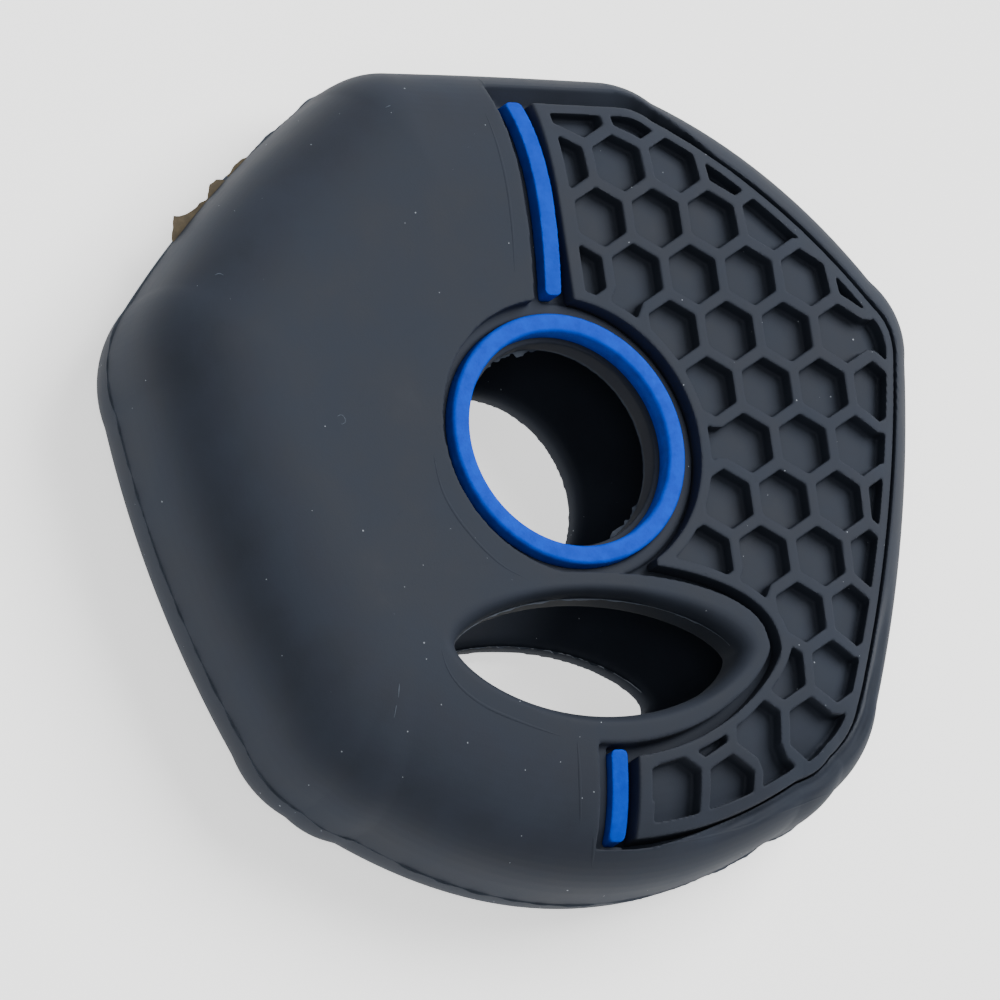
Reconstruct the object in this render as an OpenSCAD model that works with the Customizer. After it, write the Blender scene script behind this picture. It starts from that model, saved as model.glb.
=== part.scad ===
// Soft sleeve for a pebble-shaped key fob. It lies on its back with its face up, and the top of the
// face points along +Y. Plan sizes are measured from the axis of the round button hole.

/* [Outline] */
// Half width of the flat top edge, to the corner it makes with the shoulder
top_x = 10.4; // [9.5:0.1:12]
// How far the middle of the top edge lies to the right of the button hole's axis
top_shift = 0.2; // [0:0.1:0.5]
// Height of the top edge above the button hole's axis
top_y = 27; // [25:0.5:30]
// Corner radius at the ends of the top edge
top_r = 6.5; // [4:0.5:8]
// How much higher the left end of the top edge stands than the right one
left_top_up = 0.45; // [0:0.05:0.8]
// How far the top edge bows out at its middle
top_bow = 0.1; // [0:0.1:1]
// Half width at the shoulder corners
shoulder_x = 30.3; // [28:0.1:32]
// Height of the shoulder corners above the button hole's axis
shoulder_y = 8.7; // [6:0.1:11]
// How much higher the right shoulder corner stands than the left one
right_shoulder_up = 1.7; // [0.8:0.1:2]
// Radius of the left shoulder corner
left_shoulder_r = 8; // [7:0.5:12]
// Radius of the right shoulder corner
right_shoulder_r = 6.5; // [5:0.5:9]
// How far the left shoulder bows out
left_shoulder_bow = 0.65; // [0:0.05:1.6]
// How far the right shoulder bows out
right_shoulder_bow = 1.25; // [0.6:0.05:2.2]
// Half width at the hips, where the sides turn in
hip_x = 22.2; // [21.5:0.1:23]
// Distance of the hips below the button hole's axis
hip_y = 21.9; // [21:0.1:22.2]
// How much further out the right hip lies than the left one
right_hip_out = 0.1; // [0:0.1:0.5]
// How much higher the right hip lies than the left one
right_hip_up = 0.8; // [0:0.1:1]
// Radius of the hips
hip_r = 10; // [8:0.5:10]
// How far the left side bows out
left_side_bow = 1; // [0:0.1:1.4]
// How far the right side bows out
right_side_bow = 0.8; // [0:0.1:1.2]
// Half width at the notches, where the bottom arc begins
notch_x = 16; // [15:0.1:16.3]
// Distance of the notches below the button hole's axis
notch_y = 25.3; // [25:0.1:26]
// How far the short edge between hip and notch bows out
hip_bow = 0.3; // [0:0.1:0.5]
// How far the bottom arc swells out below the notches
chin_bow = 4.5; // [3.5:0.1:5.5]

/* [Section] */
// Thickness of the whole cover
cover_h = 14; // [13:0.5:17]
// Height of the seam between the two shells above the back face
seam_h = 4.7; // [4:0.1:6]
// Width of the band in which the face rolls over to the side wall
roll_w = 9; // [8:0.1:9]
// How much wider the roll is at the top edge than at the sides
top_roll_more = 4; // [0:0.5:6]
// Half width of the stretch in which the top edge's roll is wider
top_roll_x = 11; // [8:0.5:16]
// How much wider the roll is at the bottom edge than at the sides
bottom_roll_more = 6; // [0:0.5:8]
// Width of the round on the back edge
back_roll_w = 3.1; // [2:0.1:4]
// Thickness of the side wall at the seam
side_wall = 1.8; // [1.4:0.1:2.2]
// Thickness of the face between its top and the hollow
face_wall = 3.2; // [2.9:0.1:3.6]
// Thickness of the back wall
back_wall = 1.5; // [1.2:0.1:2]

/* [Button hole] */
// Radius of the round hole through both walls
hole_r = 7.1; // [6:0.1:7.5]
// Width of the black ledge that the ring leaves bare round the hole
ledge_w = 0.27; // [0.1:0.01:0.5]
// Width of the coloured ring
ring_w = 1.43; // [1:0.01:1.6]
// Height of the ring above its seat
ring_h = 1.3; // [1:0.1:1.6]
// Chamfer on the ring's top edges
trim_edge = 0.15; // [0.05:0.01:0.3]
// Width of the groove round the ring
groove_w = 0.85; // [0.5:0.05:1]
// Least clearance between the ring and the loop hole's lip
ring_lip_gap = 0.35; // [0.2:0.05:0.5]

/* [Loop hole] */
// Distance of the loop hole's tips below the button hole's axis
loop_y = 14.6; // [14.2:0.1:15]
// Half length of the loop hole, from tip to tip
loop_half = 10.8; // [9:0.1:11.5]
// Rise of the loop hole's upper edge above its tips
loop_up = 3.7; // [3:0.1:4.3]
// Fall of the loop hole's lower edge below its tips
loop_down = 4.6; // [3.5:0.1:5.2]
// Half length of the loop hole in the back wall
rear_loop_half = 10.4; // [9:0.1:11.5]
// Rise of its upper edge above its tips
rear_loop_up = 3.9; // [3:0.1:4.3]
// Fall of its lower edge below its tips
rear_loop_down = 4.3; // [3.5:0.1:5.2]
// Width of the lip at the loop hole's tips
lip_side = 2.1; // [1.7:0.1:2.4]
// Width of the lip above the loop hole
lip_up_w = 1.5; // [1.2:0.1:1.8]
// Width of the lip below the loop hole
lip_down_w = 2.1; // [1.8:0.1:2.4]
// Height of the round on the lip's inner edge
lip_round = 1.4; // [0.8:0.1:1.6]

/* [Channel and stripes] */
// Depth of the channel floor below the face
channel_d = 1.6; // [1.3:0.1:1.9]
// Depth of the channel floor measured sideways at the rim
channel_side_d = 0.9; // [0.6:0.1:1.1]
// Distance of the channel's straight wall from the button hole's axis
channel_x = 1.25; // [1.2:0.05:2]
// How far the right shoulder of the channel bows out
channel_shoulder_bow = 1.2; // [0.6:0.1:1.6]
// How much further down the channel's right shoulder corner lies than the outline asks
channel_shoulder_down = 0.9; // [0:0.1:1.2]
// How much further in the channel's right hip lies than the outline asks
channel_hip_in = 0.7; // [0:0.1:0.9]
// How much further down the channel's right hip lies than the outline asks
channel_hip_down = 0.4; // [0:0.1:0.8]
// How much nearer the channel lies to the bottom edge than to the top edge
channel_drop = 0.45; // [0:0.05:0.6]
// How far the upper stripe and the channel's wall beside it bow to the right
stripe_bow = 0.45; // [0:0.05:0.6]
// Width of the outer rim between the channel and the outline
rim_w = 2.25; // [1.9:0.05:2.4]
// Distance of the stripes' centre line from the button hole's axis
stripe_x = 0.38; // [0.2:0.02:0.5]
// Width of the stripes
stripe_w = 1.25; // [0.9:0.05:1.4]
// How far the stripes' tops lie below the face
stripe_sink = 0.2; // [0.1:0.05:0.6]
// Radius of the stripes' corners
stripe_end_r = 0.3; // [0.1:0.05:0.5]
// Clearance between a stripe's end and what it runs up to
stripe_gap = 0.35; // [0.2:0.05:0.6]

/* [Grip panel] */
// Width of the channel between the panel and the outer rim
panel_rim_gap = 0.45; // [0.3:0.05:0.6]
// Width of the channel between the panel and the stripe
panel_stripe_gap = 0.8; // [0.5:0.05:1]
// Width of the channel between the panel and the ring
panel_ring_gap = 1.1; // [0.8:0.05:1.3]
// Width of the channel between the panel and the loop hole's lip
panel_lip_gap = 0.85; // [0.6:0.05:1.2]
// How far the panel's top lies below the face
panel_sink = 0.15; // [0.1:0.05:0.4]
// Width of the panel's border
border_w = 0.8; // [0.6:0.05:1.1]
// Width of the panel's border along the stripe
stripe_border_w = 1.05; // [0.7:0.05:1.3]
// Width of the ribs between the cells
rib_w = 0.8; // [0.5:0.05:1]
// Spacing of the cells along a row
cell_pitch = 4.36; // [3.6:0.02:5]
// Spacing of the rows of cells
row_pitch = 3.95; // [3.4:0.05:4.6]
// Half height of a cell's outline, from its centre to its point
cell_point = 2.57; // [2.3:0.01:2.8]
// Distance of one cell's centre to the right of the button hole's axis
cell_x = 15.75; // [13:0.05:18]
// Distance of the same cell's centre above the button hole's axis
cell_y = 3.74; // [2:0.02:6]
// Thickness of the panel's floor under the cells
panel_floor = 0.3; // [0.2:0.05:0.5]

/* [Hidden] */

// Overrun of every cut, and the smallest corner radius
over = 0.5;
least_r = 0.6;
// How flat the face stays before it rolls over, and how upright the side wall stands
face_power = 2.4;
wall_power = 3.8;
// How pointed the loop hole and its lip are: 1 is an ellipse, and more is sharper
loop_power = 1.3;
lip_up_power = 0.8;
lip_down_power = 1.5;
// The most of an edge that a corner's round may take up, as a share of the edge
tangent_share = 0.45;
// How much of the lip's width its inner round takes up
lip_round_share = 0.65;
// Counts of points and rings
corner_steps = 5;
face_steps = 7;
back_steps = 4;
loop_steps = 48;
lip_steps = 4;
stripe_steps = 6;
corner_fine = 24;
fine = 96;

ring_r = hole_r + ledge_w;
ring_out_r = ring_r + ring_w;
groove_r = ring_out_r + groove_w;
seat_h = cover_h - channel_d;
panel_x = stripe_x + stripe_w / 2 + panel_stripe_gap;
panel_inset = rim_w + panel_rim_gap;
lip_bottom_y = -loop_y - loop_down - lip_down_w;
stripe_top_up = left_top_up * (top_shift + top_x - stripe_x) / (2 * top_x);
channel_top_y = top_y + stripe_top_up - rim_w - channel_drop;
channel_bottom_y = rim_w - channel_drop - notch_y - chin_bow;
cell_w = cell_pitch - rib_w;
cell_tip = cell_point - rib_w / sqrt(3);
cell_side = 2 * (cell_tip - cell_w / 2 / sqrt(3));

// Corners of the straight-sided outline, anticlockwise: x, y, radius, bow and steps of the next edge.
// The channel's right shoulder and hip differ a little from the outline's.
function plan(shoulder_down, hip_in, hip_down, shoulder_bow) = [
    [notch_x, -notch_y, least_r, hip_bow, 3],
    [hip_x + right_hip_out - hip_in, right_hip_up - hip_down - hip_y, hip_r, right_side_bow, 6],
    [shoulder_x, shoulder_y + right_shoulder_up - shoulder_down, right_shoulder_r, shoulder_bow, 6],
    [top_shift + top_x, top_y, top_r, top_bow, 6],
    [top_shift - top_x, top_y + left_top_up, top_r, left_shoulder_bow, 6],
    [-shoulder_x, shoulder_y, left_shoulder_r, left_side_bow, 6],
    [-hip_x, -hip_y, hip_r, hip_bow, 3],
    [-notch_x, -notch_y, least_r, chin_bow, 10]
];
corners = plan(0, 0, 0, right_shoulder_bow);
channel_corners =
    plan(channel_shoulder_down, channel_hip_in, channel_hip_down, channel_shoulder_bow);
count = len(corners);
// Middle of the outline, which stands over the origin
outline_ys = [for (p = outline(0)) p[1]];
mid_y = (max(outline_ys) + min(outline_ys)) / 2;
half_h = (max(outline_ys) - min(outline_ys)) / 2;

// Ribs that are left out, so that a cell which the border would cut to a sliver joins its neighbour.
// Each has the cell's row and column, and the way to the neighbour in half columns and rows.
missing_ribs = [
    [5, -3, -2, 0], [2, -2, -1, -1], [1, 1, 2, 0], [-1, -1, -2, 0], [-1, 1, 2, 0], [-3, -2, -2, 0],
    [-3, -1, -1, -1], [-5, 0, 2, 0], [-6, -1, 1, -1], [-6, 0, 2, 0], [-7, -3, -2, 0], [-7, -3, 0, -1],
    [-7, -2, 0, -1]
];
// Cells that are left out, so that only the gap of a missing rib reaches their place
missing_cells = [[1, -3], [-4, -1]];

// Plan geometry
function unit(v) = v / norm(v);
function spot(c) = [c[0], c[1]];
function before(i) = (i + count - 1) % count;
function after(i) = (i + 1) % count;
function toward(list, i, j) = unit(spot(list[j]) - spot(list[i]));
function half_angle(list, i) =
    acos(toward(list, i, before(i)) * toward(list, i, after(i))) / 2;
function inward(list, i) = unit(toward(list, i, before(i)) + toward(list, i, after(i)));
function edge_len(list, i) = norm(spot(list[after(i)]) - spot(list[i]));

// The corners moved in by an equal distance from every edge
function inset_corners(list, inset) = [
    for (i = [0:count - 1])
        let (p = spot(list[i]) + inward(list, i) * inset / sin(half_angle(list, i)))
        [p[0], p[1], max(list[i][2] - inset, least_r)]
];
function fitted_r(list, i) =
    min(list[i][2], tangent_share * min(edge_len(list, i), edge_len(list, before(i)))
        * tan(half_angle(list, i)));
function arc_points(list, i) =
    let (r = fitted_r(list, i))
    let (half = half_angle(list, i))
    let (centre = spot(list[i]) + inward(list, i) * r / sin(half))
    let (back = -inward(list, i))
    let (sweep = 90 - half)
    [for (k = [0:corner_steps])
        let (a = -sweep + 2 * sweep * k / corner_steps)
        centre + r * [back[0] * cos(a) - back[1] * sin(a), back[0] * sin(a) + back[1] * cos(a)]];
function bowed_points(p, q, bow, steps) =
    let (along = unit(q - p))
    let (out = [along[1], -along[0]])
    [for (k = [1:steps - 1]) let (t = k / steps) p + (q - p) * t + out * bow * 4 * t * (1 - t)];

// The rounded and bowed outline, moved in by the inset. An edge's bow shrinks as the edge does.
function outline(inset, full = corners) =
    let (list = inset_corners(full, inset))
    let (arcs = [for (i = [0:count - 1]) arc_points(list, i)])
    [for (i = [0:count - 1])
        let (bow = full[i][3] * edge_len(list, i) / edge_len(full, i))
        each concat(arcs[i],
            bowed_points(arcs[i][corner_steps], arcs[after(i)][0], bow, full[i][4]))];
// The same for the channel and what lies in it
function channel_outline(inset) =
    [for (p = outline(inset, channel_corners)) [p[0], p[1] - channel_drop]];
// A level of the face, drawn in further toward the top and bottom edges
function face_level(inset) = [
    for (p = outline(inset))
        let (from_mid = p[1] - mid_y)
        let (top_more = top_roll_more / (1 + pow(p[0] / top_roll_x, 4)))
        let (more = from_mid > 0 ? top_more : bottom_roll_more)
        [p[0], p[1] - more * from_mid / half_h * inset / roll_w]
];

// An almond with its tips on the X axis
function almond(half, up, down, up_power, down_power) = [
    for (k = [0:loop_steps - 1])
        let (a = 360 * k / loop_steps)
        let (s = sin(a))
        [half * cos(a), s >= 0 ? up * pow(s, up_power) : -down * pow(-s, down_power)]
];
function loop_outline() = almond(loop_half, loop_up, loop_down, loop_power, loop_power);
function rear_loop_outline() =
    almond(rear_loop_half, rear_loop_up, rear_loop_down, loop_power, loop_power);
function lip_outline(grow) =
    almond(loop_half + lip_side + grow, loop_up + lip_up_w + grow, loop_down + lip_down_w + grow,
        lip_up_power, lip_down_power);
// Part of the way from the hole's edge to the lip's outer edge
function lip_between(share) = loop_outline() * (1 - share) + lip_outline(0) * share;

// Solid geometry: a ring is an outline at one height, and a stack of rings is one closed solid
function ring_at(points, h) = [for (p = points) [p[0], p[1], h]];
function face_rings(side, drop) = [
    for (k = [0:face_steps])
        let (a = 90 * k / face_steps)
        let (inset = side + (roll_w - side) * (1 - pow(cos(a), 2 / face_power)))
        ring_at(face_level(inset), seam_h + (cover_h - drop - seam_h) * pow(sin(a), 2 / wall_power))
];
function back_rings(side, wall) = [
    for (k = [0:back_steps])
        let (a = 90 * k / back_steps)
        ring_at(outline(side + back_roll_w * (1 - cos(a))), seam_h - (seam_h - wall) * sin(a))
];
function reversed(list) = [for (k = [len(list) - 1:-1:0]) list[k]];
function middle(ring) = [for (p = ring) 1] * ring / len(ring);

// Each end is closed by a fan of triangles round the middle of its ring
module stack(rings) {
    n = len(rings[0]);
    last = len(rings) - 1;
    sides = [
        for (j = [0:last - 1], i = [0:n - 1])
            let (a = j * n + i)
            let (b = j * n + (i + 1) % n)
            each [[a, a + n, b + n], [a, b + n, b]]
    ];
    low_middle = n * len(rings);
    high_middle = low_middle + 1;
    ends = [
        for (i = [0:n - 1])
            let (b = (i + 1) % n)
            each [[i, b, low_middle], [last * n + b, last * n + i, high_middle]]
    ];
    points = concat([for (r = rings) each r], [middle(rings[0]), middle(rings[last])]);
    polyhedron(points = points, faces = concat(sides, ends));
}

// Everything under a skin that lies below the face: side and drop are its depths at rim and top
module under_skin(side, drop) {
    base = ring_at(face_level(side), seam_h - over);
    stack(concat([base], face_rings(side, drop)));
}
module prism(points) {
    translate([0, 0, seam_h + over]) linear_extrude(cover_h) polygon(points);
}
module loop_prism(points, low, high) {
    translate([0, -loop_y, low]) linear_extrude(high - low) polygon(points);
}
module post(r) {
    translate([0, 0, seam_h + over]) cylinder(h = cover_h, r = r, $fn = fine);
}
module right_of(x) {
    translate([x, -shoulder_x, seam_h]) cube([2 * shoulder_x, 2 * shoulder_x, 2 * cover_h]);
}
// Points up a line beside the upper stripe, which bows to the right
function lane_points(x, from_y, to_y, bow) = [
    for (k = [0:stripe_steps])
        let (t = k / stripe_steps)
        [x + bow * 4 * t * (1 - t), from_y + (to_y - from_y) * t]
];
// Stands the middle of the outline over the origin
module placed() {
    translate([0, -mid_y, 0]) children();
}

// The channel that holds the ring, the stripes and the panel
module channel() {
    difference() {
        union() {
            intersection() {
                prism(channel_outline(rim_w));
                prism(concat(
                    [[shoulder_x, -shoulder_x], [shoulder_x, shoulder_x], [-channel_x, shoulder_x]],
                    reversed(lane_points(-channel_x, groove_r, channel_top_y, stripe_bow)),
                    [[-channel_x, -shoulder_x]]));
            }
            post(groove_r);
        }
        under_skin(channel_side_d, channel_d);
        difference() {
            loop_prism(lip_outline(0), seam_h - over, 2 * cover_h);
            post(ring_out_r + ring_lip_gap);
        }
    }
}
// Round on the inner edge of the loop hole's lip
module lip_cut() {
    rounds = [
        for (k = [0:lip_steps])
            let (a = 90 * k / lip_steps)
            ring_at(lip_between(lip_round_share * (1 - cos(a))), cover_h - lip_round * (1 - sin(a)))
    ];
    base = ring_at(loop_outline(), seam_h - over);
    top = ring_at(lip_between(lip_round_share), cover_h + over);
    translate([0, -loop_y, 0]) stack(concat([base], rounds, [top]));
}
module button_bore(low, high) {
    translate([0, 0, low]) cylinder(h = high - low, r = hole_r, $fn = fine);
}

// Front half of the sleeve, from the seam to the face
module front_shell() {
    color("#23272e") placed() difference() {
        stack(concat(reversed(face_rings(side_wall, face_wall)), face_rings(0, 0)));
        channel();
        lip_cut();
        button_bore(seam_h, cover_h + over);
    }
}

// Back half of the sleeve, which the cover rests on
module rear_shell() {
    color("#2b2f36") placed() difference() {
        stack(concat(reversed(back_rings(0, 0)), back_rings(side_wall, back_wall)));
        button_bore(-over, seam_h + over);
        loop_prism(rear_loop_outline(), -over, seam_h + over);
    }
}

// Coloured ring that stands on the channel floor round the button hole
module button_ring() {
    profile = [
        [ring_r, 0],
        [ring_out_r, 0],
        [ring_out_r, ring_h - trim_edge],
        [ring_out_r - trim_edge, ring_h],
        [ring_r + trim_edge, ring_h],
        [ring_r, ring_h - trim_edge]
    ];
    color("#1e67ca") placed() translate([0, 0, seat_h]) rotate_extrude($fn = fine) polygon(profile);
}

// A coloured strip that stands on the channel floor between two distances along Y
module stripe(from_y, to_y, bow) {
    difference() {
        intersection() {
            under_skin(stripe_sink, stripe_sink);
            translate([0, 0, seam_h + over]) linear_extrude(cover_h)
                offset(r = stripe_end_r, $fn = corner_fine) offset(delta = -stripe_end_r)
                    polygon(concat(lane_points(stripe_x + stripe_w / 2, from_y, to_y, bow),
                        reversed(lane_points(stripe_x - stripe_w / 2, from_y, to_y, bow))));
        }
        under_skin(channel_side_d, channel_d);
    }
}
module upper_stripe() {
    color("#1d5ebb") placed() stripe(groove_r + stripe_gap, channel_top_y - stripe_gap, stripe_bow);
}
module lower_stripe() {
    color("#1c64c1") placed() stripe(channel_bottom_y + stripe_gap, lip_bottom_y - stripe_gap, 0);
}

// Plan of the grip panel with its border drawn in, by another width along the stripe
module panel_block(inset, stripe_inset) {
    difference() {
        intersection() {
            prism(channel_outline(panel_inset + inset));
            right_of(panel_x + stripe_inset);
        }
        post(ring_out_r + panel_ring_gap + inset);
        loop_prism(lip_outline(panel_lip_gap + inset), seam_h - over, 2 * cover_h);
    }
}
function cell_spot(row, column) =
    [cell_x + (column + abs(row) % 2 / 2) * cell_pitch, cell_y + row * row_pitch];
function is_missing(spot) = len([for (m = missing_cells) if (m == spot) m]) > 0;
module cell() {
    half = cell_w / 2;
    side = cell_side / 2;
    polygon([[0, cell_tip], [-half, side], [-half, -side], [0, -cell_tip], [half, -side], [half, side]]);
}
// The gap that a left-out rib opens between a cell and its neighbour
module rib_gap(across, up) {
    way = [across * cell_pitch / 2, up * row_pitch];
    width = across == 0 ? cell_w : cell_side;
    rotate(atan2(way[1], way[0])) translate([0, -width / 2]) square([norm(way), width]);
}
// The cells that reach the panel, down to the panel's floor
module cells() {
    rows = ceil(half_h / row_pitch);
    columns = ceil(shoulder_x / cell_pitch);
    difference() {
        intersection() {
            panel_block(border_w, stripe_border_w);
            translate([0, 0, seam_h + over]) linear_extrude(cover_h) {
                for (row = [-rows:rows], column = [-columns:columns]) {
                    p = cell_spot(row, column);
                    inside = p[0] > 0 && p[0] < shoulder_x && p[1] > -notch_y && p[1] < top_y;
                    if (inside && !is_missing([row, column]))
                        translate(p) cell();
                }
                for (rib = missing_ribs)
                    translate(cell_spot(rib[0], rib[1])) rib_gap(rib[2], rib[3]);
            }
        }
        under_skin(channel_side_d - panel_floor / 2, channel_d - panel_floor);
    }
}
// Honeycomb pad with a border, which follows the face as it rolls over
module grip_panel() {
    color("#30353d") placed() difference() {
        intersection() {
            under_skin(panel_sink, panel_sink);
            panel_block(0, 0);
        }
        under_skin(channel_side_d, channel_d);
        cells();
    }
}

front_shell();
rear_shell();
button_ring();
upper_stripe();
lower_stripe();
grip_panel();
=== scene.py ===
"""The looks of a soft key fob cover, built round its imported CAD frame.

The sleeve, the ring, the stripes and the honeycomb pad are modelled again with the fillets, the moulding
flash and the finish of the real silicone, each in the space of its CAD node. Lengths are in millimetres,
and places are counted from the button hole's axis, unless a line says metres.
"""
import logging
import math
from dataclasses import dataclass, field, replace
from enum import Enum

import bmesh
import bpy
from mathutils import Matrix, Vector, noise
from mathutils.bvhtree import BVHTree
from mathutils.kdtree import KDTree


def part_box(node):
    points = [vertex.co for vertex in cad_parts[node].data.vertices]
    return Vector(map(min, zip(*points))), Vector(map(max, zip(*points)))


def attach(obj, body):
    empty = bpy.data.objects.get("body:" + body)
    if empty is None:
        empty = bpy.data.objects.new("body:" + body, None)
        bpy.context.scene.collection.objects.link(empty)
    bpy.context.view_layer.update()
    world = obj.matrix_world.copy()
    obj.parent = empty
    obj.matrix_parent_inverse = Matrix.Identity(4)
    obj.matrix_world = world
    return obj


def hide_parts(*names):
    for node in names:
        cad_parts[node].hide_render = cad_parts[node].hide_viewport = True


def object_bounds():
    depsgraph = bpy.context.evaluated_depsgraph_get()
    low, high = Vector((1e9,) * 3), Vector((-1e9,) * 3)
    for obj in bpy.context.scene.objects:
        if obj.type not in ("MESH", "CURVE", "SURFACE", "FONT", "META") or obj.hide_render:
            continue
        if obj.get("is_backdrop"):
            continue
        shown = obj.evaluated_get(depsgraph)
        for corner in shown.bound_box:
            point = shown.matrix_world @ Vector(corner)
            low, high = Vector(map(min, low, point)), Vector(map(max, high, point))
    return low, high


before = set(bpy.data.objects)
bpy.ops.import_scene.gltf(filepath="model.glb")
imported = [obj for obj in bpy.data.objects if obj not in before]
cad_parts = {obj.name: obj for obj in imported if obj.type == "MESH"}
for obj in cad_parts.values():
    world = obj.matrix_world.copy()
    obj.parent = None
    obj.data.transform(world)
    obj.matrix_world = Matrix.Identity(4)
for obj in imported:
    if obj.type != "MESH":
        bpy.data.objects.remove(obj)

log = logging.getLogger("key_cover")
MM = 0.001
# A distance that lies past every edge of the cover
WIDE = 40.0
# How far a cutter reaches past what it cuts
REACH = 2.0
Ring = list[Vector]


class Cut(Enum):
    """How one solid is combined with another."""

    AWAY = "DIFFERENCE"
    SHARED = "INTERSECT"
    BOTH = "UNION"


# Points and lines

def mm(*lengths: float) -> Vector:
    """A point or a size given in millimetres, in metres."""
    return Vector(lengths) * MM


def ramp(value: float, start: float, length: float) -> float:
    """How far a value lies along a stretch, from 0 before it to 1 past it."""
    return min(max((value - start) / length, 0), 1)


def circle(radius: float, steps: int = 180) -> Ring:
    """The points of a circle round the button hole's axis, anticlockwise."""
    turns = [math.tau * k / steps for k in range(steps)]
    return [radius * Vector((math.cos(a), math.sin(a))) for a in turns]


def box(left: float, low: float, right: float, high: float) -> Ring:
    """The corners of a rectangle in plan, anticlockwise from the lower left."""
    return [Vector(p) for p in ((left, low), (right, low), (right, high), (left, high))]


def lookup(points: Ring) -> KDTree:
    """Sorts points so that the one nearest to a place is found fast.

    Args:
        points: The points, in plan or in space.

    Returns:
        The tree.
    """
    tree = KDTree(len(points))
    for number, point in enumerate(points):
        tree.insert(point.to_3d(), number)
    tree.balance()
    return tree


def spread(line: Ring, step: float, closed: bool = True) -> Ring:
    """Spreads points evenly along a line.

    Args:
        line: The line's points.
        step: The spacing wanted.
        closed: Whether it runs back to its first point.

    Returns:
        The new points.
    """
    line = [*line, line[0]] if closed else list(line)
    marks = [0.0]
    for a, b in zip(line, line[1:]):
        marks.append(marks[-1] + (b - a).length)
    count = max(2, round(marks[-1] / step))
    spots, k = [], 0
    for i in range(count if closed else count + 1):
        place = marks[-1] * i / count
        while k < len(line) - 2 and marks[k + 1] < place:
            k += 1
        length = max(marks[k + 1] - marks[k], 1e-9)
        spots.append(line[k].lerp(line[k + 1], (place - marks[k]) / length))
    return spots


def eased(line: Ring, rounds: int = 2) -> Ring:
    """Rounds an open line by cutting its corners again and again.

    Args:
        line: The line's points.
        rounds: How many times they are cut.

    Returns:
        The new points.
    """
    for _ in range(rounds):
        cut = [line[0]]
        for a, b in zip(line, line[1:]):
            cut += [a.lerp(b, 0.25), a.lerp(b, 0.75)]
        line = [*cut, line[-1]]
    return line


# Mesh operations

def select_only(piece: bpy.types.Object) -> None:
    """Makes one object the only one selected, and the active one.

    Args:
        piece: The object.
    """
    bpy.ops.object.select_all(action="DESELECT")
    piece.select_set(True)
    bpy.context.view_layer.objects.active = piece


def apply(piece: bpy.types.Object, kind: str, **settings: object) -> None:
    """Adds a modifier and applies it at once.

    Args:
        piece: The object that is changed.
        kind: Blender's name for the modifier.
        settings: The modifier's options.
    """
    modifier = piece.modifiers.new(kind.title(), kind)
    for name, value in settings.items():
        setattr(modifier, name, value)
    select_only(piece)
    bpy.ops.object.modifier_apply(modifier=modifier.name)


def combine(piece: bpy.types.Object, tool: bpy.types.Object, how: Cut) -> None:
    """Combines a solid with a second one, which is used up."""
    apply(piece, "BOOLEAN", operation=how.value, object=tool, solver="MANIFOLD")
    bpy.data.objects.remove(tool)


def loft(name: str, rings: list[Ring], hoop: bool = False) -> bpy.types.Object:
    """Makes a closed solid by extruding a circle's face from ring to ring.

    Args:
        name: The object's name.
        rings: Rings of equally many points in metres, from the lowest to the highest.
        hoop: Whether the last ring is the first one again, so that the ends are welded.

    Returns:
        The solid.
    """
    bpy.ops.object.select_all(action="DESELECT")
    bpy.ops.mesh.primitive_circle_add(vertices=len(rings[0]), fill_type="NGON")
    piece = bpy.context.active_object
    piece.name = name
    bpy.ops.object.mode_set(mode="EDIT")
    bpy.ops.mesh.select_all(action="SELECT")
    mesh = bmesh.from_edit_mesh(piece.data)
    mesh.verts.ensure_lookup_table()
    for vertex, spot in zip(mesh.verts, rings[0]):
        vertex.co = spot
    for low, high in zip(rings, rings[1:]):
        bpy.ops.mesh.extrude_region_move()
        tree = lookup(low)
        mesh = bmesh.from_edit_mesh(piece.data)
        for vertex in [v for v in mesh.verts if v.select]:
            vertex.co = high[tree.find(vertex.co)[1]]
        bmesh.update_edit_mesh(piece.data)
    if hoop:
        mesh = bmesh.from_edit_mesh(piece.data)
        for face in mesh.faces:
            face.select = len(face.verts) == len(rings[0])
        bmesh.update_edit_mesh(piece.data)
        bpy.ops.mesh.delete(type="ONLY_FACE")
        bpy.ops.mesh.select_all(action="SELECT")
        bpy.ops.mesh.remove_doubles(threshold=1e-7)
    bpy.ops.mesh.select_all(action="SELECT")
    bpy.ops.mesh.normals_make_consistent(inside=False)
    bpy.ops.object.mode_set(mode="OBJECT")
    return piece


def prism(name: str, plan: Ring, low: float, high: float) -> bpy.types.Object:
    """Makes an upright prism over a plan, between two heights, all in metres."""
    return loft(name, [[Vector((p.x, p.y, z)) for p in plan] for z in (low, high)])


def join(parts: list[bpy.types.Object]) -> bpy.types.Object:
    """Joins pieces into the first of them.

    Args:
        parts: The pieces.

    Returns:
        The joined piece.
    """
    bpy.ops.object.select_all(action="DESELECT")
    for part in parts:
        part.select_set(True)
    bpy.context.view_layer.objects.active = parts[0]
    bpy.ops.object.join()
    return parts[0]


# Plan and section of the sleeve

@dataclass
class Corner:
    """A corner of the straight-sided outline and the edge that follows it.

    Args:
        x: Distance to the right of the button hole's axis.
        y: Distance above that axis.
        round: Radius of the corner.
        bow: How far the next edge bows out.
    """

    x: float
    y: float
    round: float
    bow: float


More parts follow.
